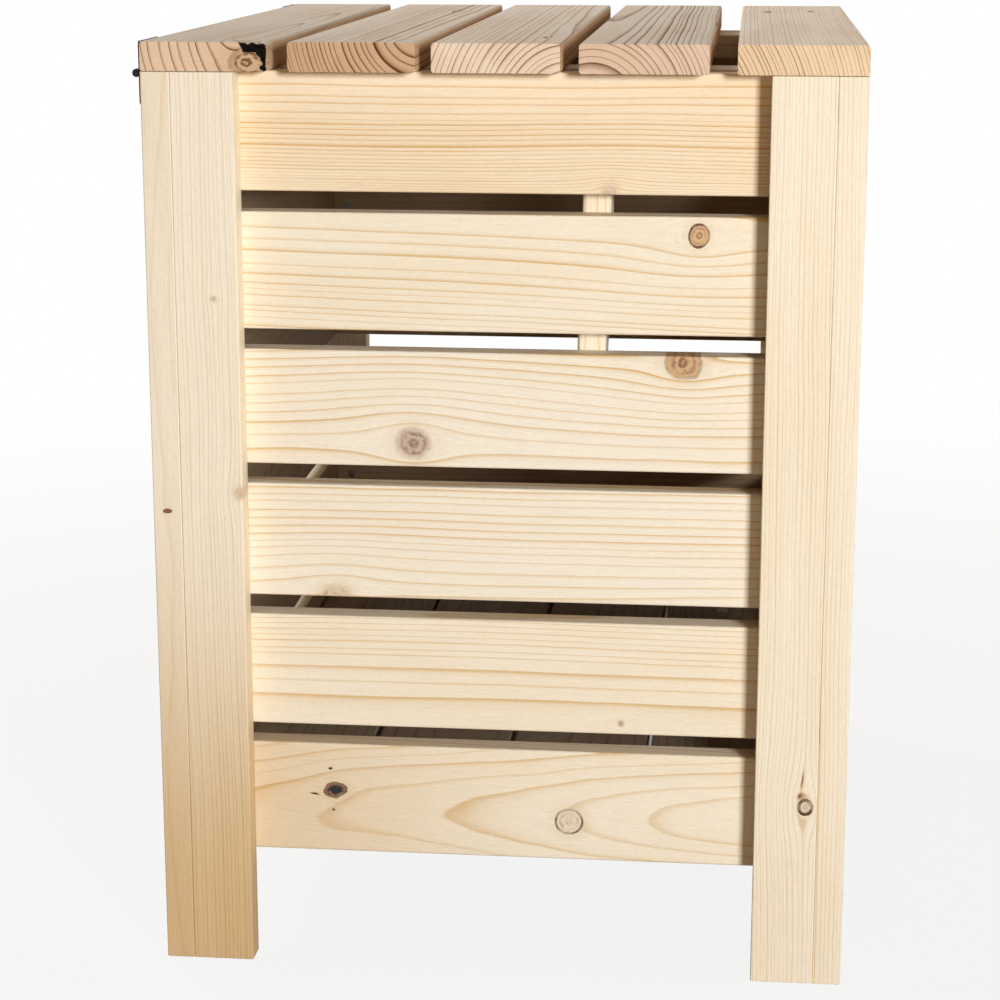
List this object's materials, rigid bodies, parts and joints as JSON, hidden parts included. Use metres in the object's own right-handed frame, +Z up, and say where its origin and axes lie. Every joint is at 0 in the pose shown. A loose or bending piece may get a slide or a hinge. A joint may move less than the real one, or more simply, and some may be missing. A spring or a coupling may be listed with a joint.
{
  "type": "slatted wooden storage box",
  "caption": "Upright slatted softwood storage box on corner-post legs, with a slatted lid on black butt hinges at the back and a wooden lid prop inside.",
  "frame": {"origin": "on the ground under the middle of the outline, hinge knuckles included", "axes": "+X from the hinged back to the front, +Y along the lid slats from the left end to the right end, +Z up"},
  "size_m": [0.5425, 0.64, 0.7268],
  "materials": {
    "post_wood": "planed, untreated spruce",
    "slat_wood": "planed, untreated spruce",
    "inner_wood": "planed, untreated spruce",
    "lid_wood": "planed, untreated spruce, a little greyer",
    "hinge_black": "satin black coated steel",
    "screw_zinc": "zinc plated"
  },
  "bodies": {
    "box": {"corner_board_back_left": "post_wood", "corner_board_back_right": "post_wood", "corner_board_front_left": "post_wood", "corner_board_front_right": "post_wood", "end_lath_back_left": "post_wood", "end_lath_back_right": "post_wood", "end_lath_front_left": "post_wood", "end_lath_front_right": "post_wood", "left_end_slat_1": "slat_wood", "left_end_slat_2": "slat_wood", "left_end_slat_3": "slat_wood", "left_end_slat_4": "slat_wood", "left_end_slat_5": "slat_wood", "left_end_slat_6": "slat_wood", "right_end_slat_1": "slat_wood", "right_end_slat_2": "slat_wood", "right_end_slat_3": "slat_wood", "right_end_slat_4": "slat_wood", "right_end_slat_5": "slat_wood", "right_end_slat_6": "slat_wood", "back_slat_1": "slat_wood", "back_slat_2": "slat_wood", "back_slat_3": "slat_wood", "back_slat_4": "slat_wood", "back_slat_5": "slat_wood", "back_slat_6": "slat_wood", "front_slat_1": "slat_wood", "front_slat_2": "slat_wood", "front_slat_3": "slat_wood", "front_slat_4": "slat_wood", "front_slat_5": "slat_wood", "front_slat_6": "slat_wood", "floor_board_1": "inner_wood", "floor_board_2": "inner_wood", "floor_board_3": "inner_wood", "floor_board_4": "inner_wood", "floor_ledger_left": "inner_wood", "floor_ledger_right": "inner_wood", "hinge_box_leaf_left": "hinge_black", "hinge_box_leaf_right": "hinge_black", "hinge_pins": "hinge_black", "wall_screws": "screw_zinc", "corner_screws": "screw_zinc", "floor_screws": "screw_zinc", "hinge_box_screws": "screw_zinc", "prop_screw": "screw_zinc"},
    "lid": {"lid_slat_1": "lid_wood", "lid_slat_2": "lid_wood", "lid_slat_3": "lid_wood", "lid_slat_4": "lid_wood", "lid_slat_5": "lid_wood", "lid_batten_left": "inner_wood", "lid_batten_right": "inner_wood", "hinge_lid_leaf_left": "hinge_black", "hinge_lid_leaf_right": "hinge_black", "lid_screws": "screw_zinc", "hinge_lid_screws": "screw_zinc"},
    "prop": {"lid_prop": "inner_wood"}
  },
  "joints": [
    {"name": "lid_hinge", "type": "hinge", "parent": "box", "child": "lid", "pos_m": [-0.26815, 0, 0.7032], "axis": [0, -1, 0], "range_deg": [0, 180]},
    {"name": "prop_pivot", "type": "hinge", "parent": "box", "child": "prop", "pos_m": [0.074, -0.2757, 0.6525], "axis": [0, 1, 0], "range_deg": [-38, 88]}
  ]
}
